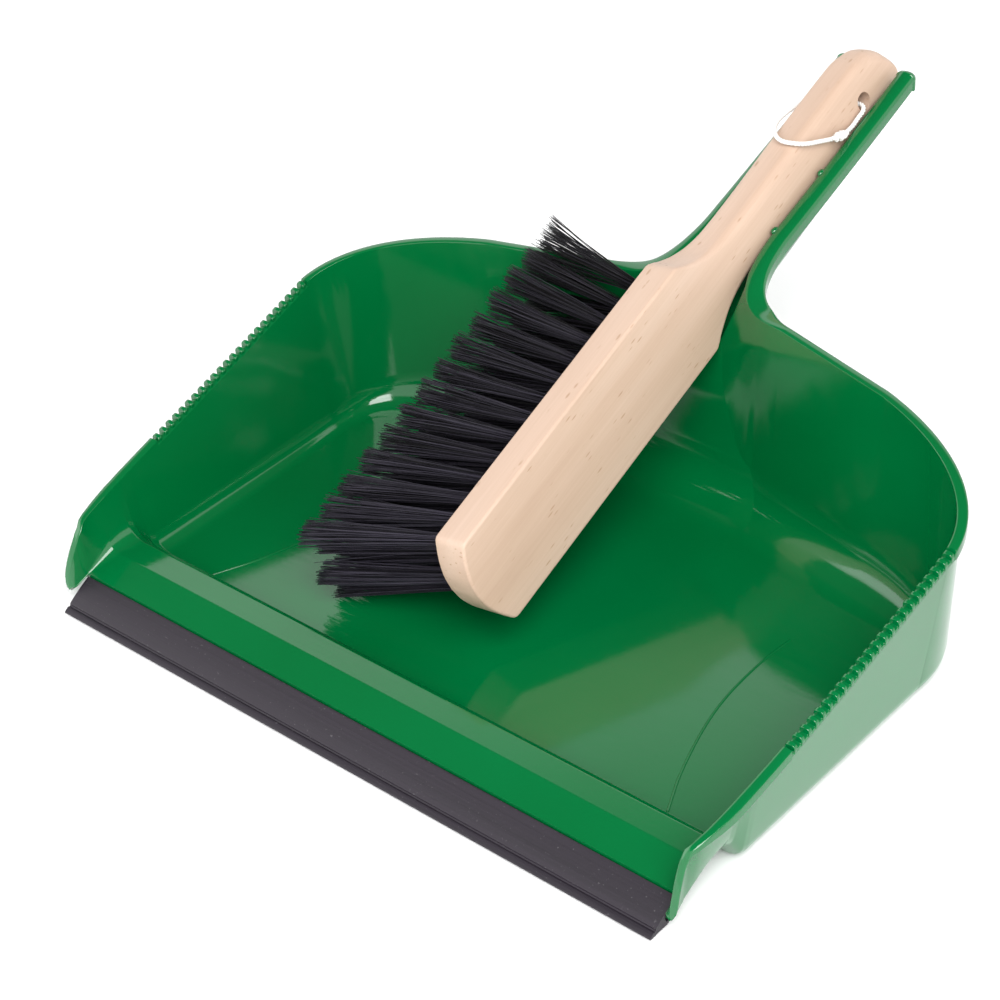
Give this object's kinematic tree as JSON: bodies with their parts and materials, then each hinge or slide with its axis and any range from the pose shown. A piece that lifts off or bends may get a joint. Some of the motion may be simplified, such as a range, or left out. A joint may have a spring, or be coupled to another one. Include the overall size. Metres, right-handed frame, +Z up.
{
  "type": "dustpan and brush set",
  "caption": "Dustpan with a rubber lip and a hollow handle, in which a wooden hand brush with dark bristle tufts and a hanging string stores.",
  "frame": {"origin": "centre of the footprint, on the plane that the pan rests on", "axes": "+Z up, +Y from the rubber lip towards the end of the handle, +X to the right seen from behind the handle's lip end"},
  "size_m": [0.3292, 0.355, 0.1488],
  "materials": {
    "green_polypropylene": "glossy moulded polypropylene",
    "black_rubber": "extruded, satin",
    "beech": "sanded, unvarnished",
    "black_filament": "synthetic bristle",
    "white_cotton": "twisted string"
  },
  "bodies": {
    "pan": {"dustpan": "green_polypropylene", "rubber_lip": "black_rubber"},
    "brush": {"brush_block": "beech", "bristle_tuft_1_01": "black_filament", "bristle_tuft_1_02": "black_filament", "bristle_tuft_1_03": "black_filament", "bristle_tuft_1_04": "black_filament", "bristle_tuft_1_05": "black_filament", "bristle_tuft_1_06": "black_filament", "bristle_tuft_1_07": "black_filament", "bristle_tuft_1_08": "black_filament", "bristle_tuft_1_09": "black_filament", "bristle_tuft_1_10": "black_filament", "bristle_tuft_1_11": "black_filament", "bristle_tuft_1_12": "black_filament", "bristle_tuft_1_13": "black_filament", "bristle_tuft_1_14": "black_filament", "bristle_tuft_2_01": "black_filament", "bristle_tuft_2_02": "black_filament", "bristle_tuft_2_03": "black_filament", "bristle_tuft_2_04": "black_filament", "bristle_tuft_2_05": "black_filament", "bristle_tuft_2_06": "black_filament", "bristle_tuft_2_07": "black_filament", "bristle_tuft_2_08": "black_filament", "bristle_tuft_2_09": "black_filament", "bristle_tuft_2_10": "black_filament", "bristle_tuft_2_11": "black_filament", "bristle_tuft_2_12": "black_filament", "bristle_tuft_2_13": "black_filament", "bristle_tuft_3_01": "black_filament", "bristle_tuft_3_02": "black_filament", "bristle_tuft_3_03": "black_filament", "bristle_tuft_3_04": "black_filament", "bristle_tuft_3_05": "black_filament", "bristle_tuft_3_06": "black_filament", "bristle_tuft_3_07": "black_filament", "bristle_tuft_3_08": "black_filament", "bristle_tuft_3_09": "black_filament", "bristle_tuft_3_10": "black_filament", "bristle_tuft_3_11": "black_filament", "bristle_tuft_3_12": "black_filament", "bristle_tuft_3_13": "black_filament", "bristle_tuft_3_14": "black_filament", "bristle_tuft_4_01": "black_filament", "bristle_tuft_4_02": "black_filament", "bristle_tuft_4_03": "black_filament", "bristle_tuft_4_04": "black_filament", "bristle_tuft_4_05": "black_filament", "bristle_tuft_4_06": "black_filament", "bristle_tuft_4_07": "black_filament", "bristle_tuft_4_08": "black_filament", "bristle_tuft_4_09": "black_filament", "bristle_tuft_4_10": "black_filament", "bristle_tuft_4_11": "black_filament", "bristle_tuft_4_12": "black_filament", "bristle_tuft_4_13": "black_filament", "hang_cord": "white_cotton", "hang_cord_knot": "white_cotton"}
  },
  "joints": [
    {"name": "brush_lift", "type": "slide", "parent": "pan", "child": "brush", "axis": [-0.2474, -0.3429, 0.9062], "range_m": [0, 0.15]}
  ]
}
